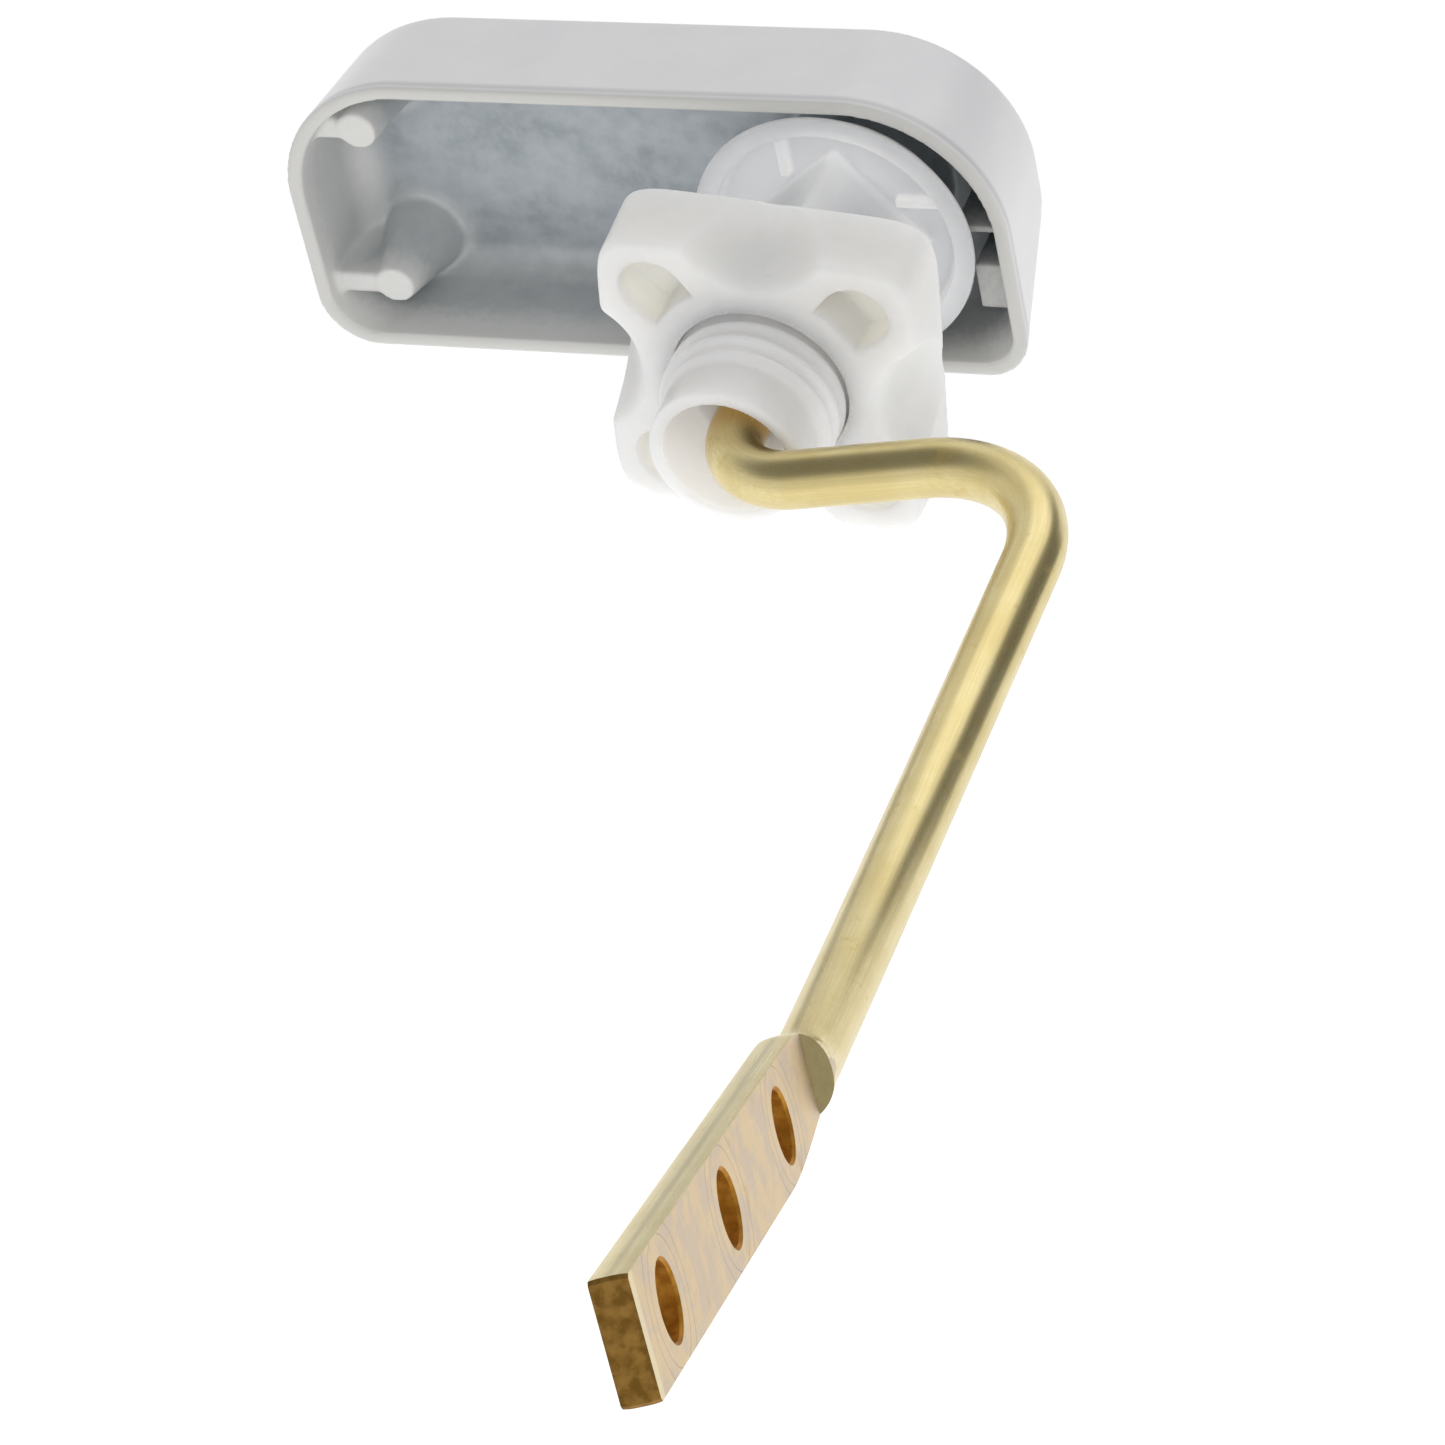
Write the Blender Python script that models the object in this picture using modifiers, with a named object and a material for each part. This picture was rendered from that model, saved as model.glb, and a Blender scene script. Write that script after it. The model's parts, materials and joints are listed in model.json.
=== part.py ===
"""Side-mount toilet-tank trip lever: cast handle, plastic bush and lock nut, bent brass lift arm and pin.

The origin is the centre of the bush flange's clamping face. +Y runs along the pivot axis out of the tank to
the front of the handle, +Z is up, and the grip points to -X.
"""

import math

import bmesh
import bpy
from mathutils import Matrix, Vector

MM = 0.001
GAP = 0.3 * MM

# Brass rod and its route, corner by corner
ROD_RADIUS = 3.0 * MM
ROD_HUB_END = 10.2 * MM
ARM_CORNERS = [
    (0.0, -41.9 * MM, 0.0),
    (39.3 * MM, -40.5 * MM, 5.7 * MM),
    (37.3 * MM, -99.2 * MM, 2.9 * MM),
    (44.7 * MM, -139.8 * MM, 19.3 * MM),
]
ARM_BEND_RADII = [9.0 * MM, 15.0 * MM, 158.0 * MM, 20.0 * MM]
ARM_TIP = (59.8 * MM, -207.1 * MM, 59.8 * MM)

# Flat pressed at the end of the rod
FLAT_WIDTH_DIRECTION = (-0.2625, 0.4539, 0.8515)
FLAT_UPPER_HALF = 4.5 * MM
FLAT_LOWER_HALF = 5.2 * MM
FLAT_THICKNESS = 3.0 * MM
FLAT_LENGTH = 74.0 * MM
BLANK_LENGTH = 80.5 * MM
UPPER_SHOULDER = 9.5 * MM
LOWER_SHOULDER = 24.0 * MM
LINK_HOLE_RADIUS = 3.02 * MM
FIRST_HOLE = 9.45 * MM
HOLE_PITCH = 25.06 * MM
HOLE_COUNT = 3

# Handle casting
HANDLE_LEFT = -63.2 * MM
HANDLE_RIGHT = 19.6 * MM
HANDLE_BOTTOM = -17.7 * MM
HANDLE_TOP = 17.5 * MM
HANDLE_RIM = 0.4 * MM
HANDLE_FRONT = 14.7 * MM
HANDLE_FLOOR = 12.6 * MM
WALL = 1.7 * MM
# Corner radii: top right, top left, lower left, lower right
RIM_RADII = (17.0 * MM, 15.5 * MM, 8.0 * MM, 5.2 * MM)
FRONT_RADII = (17.0 * MM, 15.5 * MM, 12.0 * MM, 12.0 * MM)
BOTTOM_RISE = 1.5 * MM
SIDE_DRAFT = 0.8 * MM
FRONT_EDGE_RADIUS = 1.0 * MM
FLOOR_EDGE_RADIUS = 3.0 * MM
POST_TIP = 2.3 * MM
POST_TIP_RADIUS = 2.2 * MM
UPPER_POST = (-54.0 * MM, 10.2 * MM, 3.6 * MM)
LOWER_POST = (-54.3 * MM, -10.6 * MM, 5.0 * MM)
WEB_THICKNESS = 2.6 * MM
SLEEVE_RADIUS = 5.2 * MM
SLEEVE_END = -22.0 * MM
FLOOR_BOSS_RADIUS = 9.5 * MM
FLOOR_BOSS_END = 6.2 * MM
WALL_RIB = (12.0 * MM, 4.4 * MM, -1.4 * MM, -0.6 * MM)
WALL_BLOCK = (13.6 * MM, 4.4 * MM, -11.5 * MM, -5.6 * MM)

# Cross pin through the sleeve and the rod
PIN_RADIUS = 1.25 * MM
PIN_PLACE = -8.0 * MM
PIN_LENGTH = 9.6 * MM

# Bush
FLANGE_RADIUS = 15.6 * MM
FLANGE_BACK_RADIUS = 13.2 * MM
FLANGE_THICKNESS = 3.6 * MM
FLANGE_EDGE = 0.5 * MM
RECESS_RADIUS = 13.1 * MM
RECESS_DEPTH = 2.4 * MM
BACK_COLLAR_RADIUS = 9.0 * MM
BACK_COLLAR_END = 5.9 * MM
RIB_PLACE = (-4.9 * MM, -3.9 * MM)
RIB_TOP = 0.2 * MM
SQUARE_BOSS_HALF = 7.5 * MM
SQUARE_BOSS_END = -9.0 * MM
SQUARE_BOSS_TURN = math.radians(38.5)
BOSS_CORE_RADIUS = 7.3 * MM
SHANK_RADIUS = 9.5 * MM
BUSH_BORE = 5.5 * MM
MOUTH_BORE = 6.75 * MM
MOUTH_DEPTH = 10.0 * MM
SHANK_END = -37.3 * MM
NOSE_RADIUS = 8.2 * MM
NOSE_START = -32.0 * MM
THREAD_PITCH = 2.3 * MM
THREAD_DEPTH = 0.7 * MM
THREAD_START = -8.4 * MM

# Lock nut
NUT_FRONT = -25.8 * MM
NUT_BACK = -16.3 * MM
NUT_HALF = 17.2 * MM
NUT_FRONT_HALF = 16.9 * MM
NUT_SQUARENESS = 8.5
NUT_TURN = math.radians(-6.3)
NUT_BORE = 9.9 * MM
SCALLOP_RADIUS = 8.8 * MM
SCALLOP_FRONT_REACH = 12.7 * MM
NUT_FRONT_ROUND = 0.9 * MM
POCKET_REACH = 15.4 * MM
POCKET_RADIUS = 3.6 * MM
POCKET_INNER = 12.5 * MM
POCKET_INNER_HALF = 3.2 * MM
POCKET_DEPTH = 5.5 * MM

# Facets of round shapes
ROD_BEVEL_RESOLUTION = 8
SECTION_POINTS = 28
TURN_STEPS = 48
NUT_POINTS = 112
THREAD_POINTS = 32
THREAD_RINGS_PER_TURN = 4


def clear_scene():
    for obj in list(bpy.data.objects):
        bpy.data.objects.remove(obj, do_unlink=True)


def make_collections():
    """The collection of the parts, and the hidden one of their cutters and unions."""
    found = []
    for name in ("trip_lever", "cutters"):
        collection = bpy.data.collections.new(name)
        bpy.context.scene.collection.children.link(collection)
        found.append(collection)
    return found


def material(name, colour, roughness, metallic):
    made = bpy.data.materials.new(name)
    made.use_nodes = True
    shader = made.node_tree.nodes["Principled BSDF"]
    shader.inputs["Base Color"].default_value = (*colour, 1.0)
    shader.inputs["Roughness"].default_value = roughness
    shader.inputs["Metallic"].default_value = metallic
    return made


def link_mesh(name, mesh, collection, matrix=Matrix.Identity(4)):
    obj = bpy.data.objects.new(name, mesh)
    obj.matrix_world = matrix
    collection.objects.link(obj)
    if collection is TOOLS:
        obj.hide_render = True
        obj.display_type = "WIRE"
    return obj


def finish_bmesh(name, shape, collection, matrix=Matrix.Identity(4)):
    bmesh.ops.recalc_face_normals(shape, faces=shape.faces)
    mesh = bpy.data.meshes.new(name)
    shape.to_mesh(mesh)
    shape.free()
    return link_mesh(name, mesh, collection, matrix)


def along_y(x=0.0, y=0.0, z=0.0):
    """Turns a shape made along its own +Z so that it runs along +Y."""
    return Matrix.Translation((x, y, z)) @ Matrix.Rotation(-math.pi / 2, 4, "X")


def cone(name, start_radius, end_radius, length, matrix, collection, segments=TURN_STEPS):
    """A cone or cylinder from its matrix's origin along the matrix's Z."""
    shape = bmesh.new()
    bmesh.ops.create_cone(
        shape,
        cap_ends=True,
        segments=segments,
        radius1=start_radius,
        radius2=end_radius,
        depth=length,
        matrix=Matrix.Translation((0.0, 0.0, length / 2)),
    )
    return finish_bmesh(name, shape, collection, matrix)


def box(name, low, high, collection, matrix=Matrix.Identity(4)):
    shape = bmesh.new()
    low = Vector(low)
    size = Vector(high) - low
    place = Matrix.Translation(low + size / 2) @ Matrix.Diagonal((*size, 1.0))
    bmesh.ops.create_cube(shape, size=1.0, matrix=place)
    return finish_bmesh(name, shape, collection, matrix)


def loft(name, rings, collection, matrix=Matrix.Identity(4)):
    """A closed solid through rings that all have the same number of points."""
    shape = bmesh.new()
    made = [[shape.verts.new(point) for point in ring] for ring in rings]
    for near, far in zip(made, made[1:]):
        for i in range(len(near)):
            j = (i + 1) % len(near)
            shape.faces.new((near[i], near[j], far[j], far[i]))
    shape.faces.new(made[0])
    shape.faces.new(made[-1])
    return finish_bmesh(name, shape, collection, matrix)


def turned(name, profile, collection):
    """A closed profile of (radius, Y) points turned about the pivot axis."""
    mesh = bpy.data.meshes.new(name)
    edges = [(i, (i + 1) % len(profile)) for i in range(len(profile))]
    mesh.from_pydata([(radius, 0.0, y) for radius, y in profile], edges, [])
    obj = link_mesh(name, mesh, collection, along_y())
    screw = obj.modifiers.new("turn", "SCREW")
    screw.axis = "Z"
    screw.steps = TURN_STEPS
    screw.render_steps = TURN_STEPS
    screw.use_merge_vertices = True
    screw.merge_threshold = 0.00001
    return obj


def as_mesh(curve_object, collection):
    """Replaces a curve object by the closed mesh that it draws."""
    bpy.context.view_layer.update()
    graph = bpy.context.evaluated_depsgraph_get()
    mesh = bpy.data.meshes.new_from_object(curve_object.evaluated_get(graph))
    name = curve_object.name
    matrix = curve_object.matrix_world.copy()
    bpy.data.objects.remove(curve_object, do_unlink=True)
    shape = bmesh.new()
    shape.from_mesh(mesh)
    bmesh.ops.remove_doubles(shape, verts=shape.verts, dist=0.000001)
    return finish_bmesh(name, shape, collection, matrix)


def plate(name, outline, thickness, matrix, collection):
    """A flat outline in its matrix's XY plane, thickened both ways along Z."""
    curve = bpy.data.curves.new(name, "CURVE")
    curve.dimensions = "2D"
    curve.fill_mode = "BOTH"
    curve.extrude = thickness / 2
    spline = curve.splines.new("POLY")
    spline.points.add(len(outline) - 1)
    for point, (x, y) in zip(spline.points, outline):
        point.co = (x, y, 0.0, 1.0)
    spline.use_cyclic_u = True
    obj = bpy.data.objects.new(name, curve)
    obj.matrix_world = matrix
    bpy.context.scene.collection.objects.link(obj)
    return as_mesh(obj, collection)


def boolean(target, other, operation):
    change = target.modifiers.new(f"{operation.lower()}_{other.name}", "BOOLEAN")
    change.operation = operation
    change.object = other
    change.solver = "EXACT"


def cut(target, *others):
    for other in others:
        boolean(target, other, "DIFFERENCE")


def join(target, *others):
    for other in others:
        boolean(target, other, "UNION")


def arc(centre, radius, start, end, steps):
    """Points on an arc, both ends included, angles in degrees."""
    found = []
    for i in range(steps + 1):
        angle = math.radians(start + (end - start) * i / steps)
        found.append((centre[0] + radius * math.cos(angle), centre[1] + radius * math.sin(angle)))
    return found


def smooth(value):
    """0 below 0, 1 above 1, and an even S between them."""
    value = min(max(value, 0.0), 1.0)
    return value * value * (3.0 - 2.0 * value)


def rounded_route(corners, radii, start, end, chord=math.radians(9)):
    """Points from start to end past each corner, which is rounded to its radius."""
    stops = [Vector(start), *[Vector(corner) for corner in corners], Vector(end)]
    points = [stops[0]]
    for before, corner, after, radius in zip(stops, stops[1:], stops[2:], radii):
        back = (before - corner).normalized()
        ahead = (after - corner).normalized()
        turn = math.pi - back.angle(ahead)
        normal = (back + ahead).normalized()
        centre = corner + normal * radius / math.cos(turn / 2)
        side = (ahead - back).normalized()
        count = max(math.ceil(turn / chord), 8)
        for i in range(count + 1):
            angle = turn * (i / count - 0.5)
            points.append(centre + radius * (side * math.sin(angle) - normal * math.cos(angle)))
    points.append(stops[-1])
    return points


def arm_directions():
    """The arm's last straight run as (axis, width, face normal), with the axis towards the tip."""
    axis = (Vector(ARM_TIP) - Vector(ARM_CORNERS[-1])).normalized()
    width = Vector(FLAT_WIDTH_DIRECTION)
    width = (width - axis * width.dot(axis)).normalized()
    return axis, width, width.cross(axis).normalized()


def flat_matrix():
    """The flat's own frame at the tip: X along the width, Y along the face normal, Z back along the rod."""
    axis, width, normal = arm_directions()
    matrix = Matrix((width, normal, -axis)).transposed().to_4x4()
    if matrix.determinant() < 0:
        matrix = Matrix((width, -normal, -axis)).transposed().to_4x4()
    return Matrix.Translation(ARM_TIP) @ matrix


def blank_section(distance, inset=0.0):
    """The pressed blank's outline at a distance back from the tip: an oval that squares up as it widens."""
    spread = BLANK_LENGTH - distance
    core = ROD_RADIUS * 0.96
    upper = core + (FLAT_UPPER_HALF - core) * smooth(spread / UPPER_SHOULDER) - inset
    lower = core + (FLAT_LOWER_HALF - core) * smooth(spread / LOWER_SHOULDER) - inset
    height = core + 0.07 * ROD_RADIUS * smooth(spread / (UPPER_SHOULDER / 2))
    power = 2.0 / (2.0 + 1.6 * smooth(spread / (UPPER_SHOULDER * 1.5)))
    ring = []
    for i in range(SECTION_POINTS):
        angle = 2 * math.pi * i / SECTION_POINTS
        across = math.copysign(abs(math.cos(angle)) ** power, math.cos(angle))
        rise = math.copysign(abs(math.sin(angle)) ** power, math.sin(angle))
        ring.append((across * (upper if across > 0 else lower), rise * height, distance))
    return ring


def make_arm():
    """The brass rod with its bends, pressed flat and link holes."""
    axis = arm_directions()[0]
    end = Vector(ARM_TIP) - axis * (BLANK_LENGTH - 5 * MM)
    route = rounded_route(ARM_CORNERS, ARM_BEND_RADII, (0.0, ROD_HUB_END, 0.0), end)
    curve = bpy.data.curves.new("arm_rod", "CURVE")
    curve.dimensions = "3D"
    curve.bevel_depth = ROD_RADIUS
    curve.bevel_resolution = ROD_BEVEL_RESOLUTION
    curve.use_fill_caps = True
    spline = curve.splines.new("POLY")
    spline.points.add(len(route) - 1)
    for point, place in zip(spline.points, route):
        point.co = (*place, 1.0)
    rod = bpy.data.objects.new("arm_rod", curve)
    PARTS.objects.link(rod)
    rod = as_mesh(rod, PARTS)

    frame = flat_matrix()
    steps = 12
    stations = [BLANK_LENGTH - LOWER_SHOULDER * i / steps for i in range(steps + 1)]
    rings = [blank_section(distance) for distance in stations]
    rings.append(blank_section(0.3 * MM))
    rings.append(blank_section(0.0, 0.3 * MM))
    join(rod, loft("flat_blank", rings, TOOLS, frame))

    half = FLAT_THICKNESS / 2
    clear = 4 * MM
    wedge = [
        (half, -clear),
        (half, FLAT_LENGTH),
        (half + clear, FLAT_LENGTH + clear),
        (half + clear, -clear),
    ]
    for name, flip in (("face_cut_front", 1), ("face_cut_back", -1)):
        outline = [(flip * y, z) for y, z in wedge]
        across = frame @ Matrix(((0, 0, 1, 0), (1, 0, 0, 0), (0, 1, 0, 0), (0, 0, 0, 1)))
        cut(rod, plate(name, outline, 30 * MM, across, TOOLS))
    middle = (FLAT_UPPER_HALF - FLAT_LOWER_HALF) / 2
    for i in range(HOLE_COUNT):
        distance = FIRST_HOLE + i * HOLE_PITCH
        place = frame @ Matrix.Translation((middle, 5 * MM, distance)) @ Matrix.Rotation(math.pi / 2, 4, "X")
        cut(rod, cone(f"link_hole_{i + 1}", LINK_HOLE_RADIUS, LINK_HOLE_RADIUS, 10 * MM, place, TOOLS, 32))
    cut(rod, pin_hole("rod_pin_hole"))
    return rod


def handle_ring(y, inset, rounding=0.0):
    """The handle's outline at a depth, inset by a wall and by the rounding of an edge."""
    share = (y - HANDLE_RIM) / (HANDLE_FRONT - HANDLE_RIM)
    shrink = inset + rounding
    left = HANDLE_LEFT + SIDE_DRAFT * share + shrink
    right = HANDLE_RIGHT - SIDE_DRAFT * share - shrink
    bottom = HANDLE_BOTTOM + BOTTOM_RISE * share + shrink
    top = HANDLE_TOP - shrink
    corners = (
        (right, top, 0, 12),
        (left, top, 90, 12),
        (left, bottom, 180, 8),
        (right, bottom, 270, 8),
    )
    ring = []
    for (x, z, start, steps), rim, front in zip(corners, RIM_RADII, FRONT_RADII):
        radius = rim + (front - rim) * share - shrink
        centre = (x - math.copysign(radius, x), z - math.copysign(radius, z))
        ring.extend((px, y, pz) for px, pz in arc(centre, radius, start, start + 90, steps))
    return ring


def cup(name, inset, start, end, edge, collection):
    """A solid between two depths, inset from the handle's outline, its far edge rounded."""
    stations = [(start, 0.0), (start + (end - edge - start) / 2, 0.0)]
    for i in range(5):
        angle = math.pi / 2 * i / 4
        stations.append((end - edge + edge * math.sin(angle), edge * (1 - math.cos(angle))))
    return loft(name, [handle_ring(y, inset, rounding) for y, rounding in stations], collection)


def make_cavity():
    """The handle's hollow: the inset outline less the posts, webs and ribs that stand in it."""
    cavity = cup("handle_cavity", WALL, HANDLE_RIM - 2 * MM, HANDLE_FLOOR, FLOOR_EDGE_RADIUS, TOOLS)
    root = HANDLE_FLOOR + WALL
    for name, (x, z, base) in (("upper_post", UPPER_POST), ("lower_post", LOWER_POST)):
        place = along_y(x, POST_TIP, z)
        cut(cavity, cone(name, POST_TIP_RADIUS, base, root - POST_TIP, place, TOOLS, 32))
        low = (HANDLE_LEFT, POST_TIP + 0.2 * MM, z - WEB_THICKNESS / 2)
        cut(cavity, box(f"{name}_web", low, (x, root, z + WEB_THICKNESS / 2), TOOLS))
    for name, (x, y, low, high) in (("wall_rib", WALL_RIB), ("wall_block", WALL_BLOCK)):
        cut(cavity, box(name, (x, y, low), (HANDLE_RIGHT, root, high), TOOLS))
    return cavity


def make_handle():
    """The hollow cast handle with its posts, ribs, floor boss and hub sleeve."""
    handle = cup("handle_shell", 0.0, HANDLE_RIM, HANDLE_FRONT, FRONT_EDGE_RADIUS, PARTS)
    cut(handle, make_cavity())
    root = HANDLE_FLOOR + WALL / 2
    for name, radius, end in (
        ("floor_boss", FLOOR_BOSS_RADIUS, FLOOR_BOSS_END),
        ("hub_sleeve", SLEEVE_RADIUS, SLEEVE_END),
    ):
        join(handle, cone(name, radius, radius, root - end, along_y(y=end), TOOLS))
    bore = along_y(y=SLEEVE_END - 1 * MM)
    length = ROD_HUB_END + GAP - SLEEVE_END + 1 * MM
    cut(handle, cone("rod_bore", ROD_RADIUS + GAP, ROD_RADIUS + GAP, length, bore, TOOLS, 32))
    cut(handle, pin_hole("sleeve_pin_hole"))
    return handle


def pin_hole(name):
    """The cutter for the cross pin's hole, the same through the sleeve and the rod."""
    radius = PIN_RADIUS + GAP
    return cone(name, radius, radius, 16 * MM, Matrix.Translation((0.0, PIN_PLACE, -8 * MM)), TOOLS, 20)


def make_pin():
    """The cross pin that locks the rod in the sleeve."""
    start = Matrix.Translation((0.0, PIN_PLACE, -PIN_LENGTH / 2))
    pin = cone("arm_pin", PIN_RADIUS, PIN_RADIUS, PIN_LENGTH, start, PARTS, 20)
    edge = pin.modifiers.new("edge", "BEVEL")
    edge.width = 0.25 * MM
    edge.segments = 1
    return pin


def bush_profile():
    """The bush turned about the pivot axis, without its square boss, ribs and thread."""
    core = SHANK_RADIUS - THREAD_DEPTH - 0.2 * MM
    mouth = SHANK_END + MOUTH_DEPTH
    return [
        (BUSH_BORE, BACK_COLLAR_END),
        (BACK_COLLAR_RADIUS, BACK_COLLAR_END),
        (BACK_COLLAR_RADIUS, FLANGE_THICKNESS),
        (FLANGE_BACK_RADIUS, FLANGE_THICKNESS),
        (FLANGE_RADIUS - 0.3 * FLANGE_EDGE, 1.6 * FLANGE_EDGE),
        (FLANGE_RADIUS, FLANGE_EDGE),
        (FLANGE_RADIUS - 0.3 * FLANGE_EDGE, 0.3 * FLANGE_EDGE),
        (FLANGE_RADIUS - FLANGE_EDGE, 0.0),
        (RECESS_RADIUS + 0.2 * MM, 0.0),
        (RECESS_RADIUS - 0.2 * MM, RECESS_DEPTH),
        (BOSS_CORE_RADIUS, RECESS_DEPTH),
        (BOSS_CORE_RADIUS, SQUARE_BOSS_END + 1.5 * MM),
        (core, SQUARE_BOSS_END + 1 * MM),
        (core, NOSE_START),
        (NOSE_RADIUS, NOSE_START - 0.4 * MM),
        (NOSE_RADIUS, SHANK_END + 0.4 * MM),
        (NOSE_RADIUS - 0.3 * MM, SHANK_END),
        (MOUTH_BORE, SHANK_END),
        (MOUTH_BORE, mouth),
        (BUSH_BORE, mouth + (MOUTH_BORE - BUSH_BORE)),
    ]


def thread_ring(step):
    """One ring of the thread: its crest climbs one pitch with each turn and dies out at both ends."""
    y = THREAD_START - step * THREAD_PITCH / THREAD_RINGS_PER_TURN
    fade = smooth((THREAD_START - y) / THREAD_PITCH) * smooth((y - NOSE_START) / (0.6 * THREAD_PITCH))
    ring = []
    for i in range(THREAD_POINTS):
        turn = i / THREAD_POINTS
        phase = (y / THREAD_PITCH + turn) % 1.0
        crest = smooth(1.5 - abs(phase - 0.5) * 4.0)
        radius = SHANK_RADIUS - THREAD_DEPTH * (1.0 - fade * crest)
        angle = 2 * math.pi * turn
        ring.append((radius * math.cos(angle), y, radius * math.sin(angle)))
    return ring


def bore_clearance(name):
    """A cutter that keeps the thread and the boss out of the bush's bore."""
    radius = MOUTH_BORE + 0.3 * MM
    return cone(name, radius, radius, 60 * MM, along_y(y=-50 * MM), TOOLS)


def make_bush():
    """The plastic bush: recessed flange with four ribs, square boss, threaded shank and plain bore."""
    bush = turned("mounting_bush", bush_profile(), PARTS)
    count = math.floor((THREAD_START - NOSE_START) / THREAD_PITCH * THREAD_RINGS_PER_TURN)
    thread = loft("shank_thread", [thread_ring(step) for step in range(count + 1)], TOOLS)
    cut(thread, bore_clearance("thread_core"))
    join(bush, thread)

    half = SQUARE_BOSS_HALF
    spin = Matrix.Rotation(-SQUARE_BOSS_TURN, 4, "Y")
    low = (-half, SQUARE_BOSS_END, -half)
    boss = box("square_boss", low, (half, RECESS_DEPTH + 0.3 * MM, half), TOOLS, spin)
    corners = boss.modifiers.new("corners", "BEVEL")
    corners.width = 0.7 * MM
    corners.segments = 3
    cut(boss, bore_clearance("boss_core"))
    join(bush, boss)

    left, right = RIB_PLACE
    for i in range(4):
        low = (left, RIB_TOP, MOUTH_BORE + 0.6 * MM)
        high = (right, RECESS_DEPTH + 0.3 * MM, RECESS_RADIUS - 0.4 * MM)
        join(bush, box(f"recess_rib_{i + 1}", low, high, TOOLS, Matrix.Rotation(math.pi / 2 * i, 4, "Y")))
    return bush


def nut_ring(y, inset=0.0):
    """The nut's outline at a depth: a rounded square whose sides are scooped out towards the front."""
    share = (NUT_BACK - y) / (NUT_BACK - NUT_FRONT)
    half = NUT_HALF + (NUT_FRONT_HALF - NUT_HALF) * share
    reach = SCALLOP_RADIUS + NUT_HALF + (SCALLOP_FRONT_REACH - NUT_HALF) * share
    ring = []
    for i in range(NUT_POINTS):
        angle = 2 * math.pi * i / NUT_POINTS
        across = abs(math.cos(angle)) ** NUT_SQUARENESS + abs(math.sin(angle)) ** NUT_SQUARENESS
        radius = half / across ** (1 / NUT_SQUARENESS)
        swing = (angle + math.pi / 4) % (math.pi / 2) - math.pi / 4
        depth = SCALLOP_RADIUS**2 - (reach * math.sin(swing)) ** 2
        if depth > 0:
            radius = min(radius, reach * math.cos(swing) - math.sqrt(depth))
        radius -= inset
        ring.append((radius * math.cos(angle), y, radius * math.sin(angle)))
    return ring


def make_nut():
    """The lock nut with four lobes, a pocket in each and a plain bore over the thread."""
    spin = Matrix.Rotation(-NUT_TURN, 4, "Y")
    steps = 5
    rings = [nut_ring(NUT_BACK, 0.4 * MM), nut_ring(NUT_BACK - 0.4 * MM)]
    rings += [
        nut_ring(NUT_BACK - (NUT_BACK - NUT_FRONT - NUT_FRONT_ROUND) * i / steps)
        for i in range(1, steps + 1)
    ]
    for i in range(1, 4):
        angle = math.pi / 2 * i / 3
        y = NUT_FRONT + NUT_FRONT_ROUND * (1 - math.sin(angle))
        rings.append(nut_ring(y, NUT_FRONT_ROUND * (1 - math.cos(angle))))
    nut = loft("lock_nut", rings, PARTS, spin)
    start = along_y(y=NUT_FRONT - MM)
    cut(nut, cone("nut_bore", NUT_BORE, NUT_BORE, 12 * MM, start, TOOLS))
    outline = arc((POCKET_REACH, 0.0), POCKET_RADIUS, 95, -95, 14)
    lean = math.degrees(math.asin(POCKET_INNER_HALF / POCKET_INNER))
    outline += arc((0.0, 0.0), POCKET_INNER, -lean, lean, 4)
    for i in range(4):
        turn = Matrix.Rotation(-NUT_TURN - math.radians(45 + 90 * i), 4, "Y")
        face = turn @ Matrix.Translation((0.0, NUT_FRONT, 0.0)) @ Matrix.Rotation(math.pi / 2, 4, "X")
        cut(nut, plate(f"pocket_cut_{i}", outline, 2 * POCKET_DEPTH, face, TOOLS))
    return nut


def shade(obj):
    """Smooth shading with the true edges kept sharp."""
    obj.data.shade_smooth()
    obj.data.set_sharp_from_angle(angle=math.radians(30))


def main():
    painted = material("white_coating", (0.80, 0.80, 0.82), 0.35, 0.0)
    brass = material("drawn_brass", (0.80, 0.60, 0.24), 0.25, 1.0)
    natural = material("natural_plastic", (0.86, 0.86, 0.85), 0.45, 0.0)
    lock = material("nut_plastic", (0.84, 0.84, 0.83), 0.45, 0.0)
    steel = material("pin_steel", (0.60, 0.60, 0.60), 0.35, 1.0)
    pieces = (
        (make_handle(), painted),
        (make_arm(), brass),
        (make_pin(), steel),
        (make_bush(), natural),
        (make_nut(), lock),
    )
    for obj, finish in pieces:
        obj.data.materials.clear()
        obj.data.materials.append(finish)
        shade(obj)


clear_scene()
PARTS, TOOLS = make_collections()
main()
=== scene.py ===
"""Looks of the toilet-tank trip lever: smooth, fine-grained stand-ins for the handle, arm, bush and nut.

Each piece follows its CAD node in the same frame: the origin is the centre of the bush flange's clamping
face, +Y runs along the pivot axis to the front of the handle, and +Z is up. The handle's corners, the
flange ribs' tops and the nut's bore are drawn slightly differently from the CAD nodes.
"""

import json
import math

import bmesh
import bpy
from mathutils import Matrix, Vector
from mathutils.kdtree import KDTree

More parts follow.
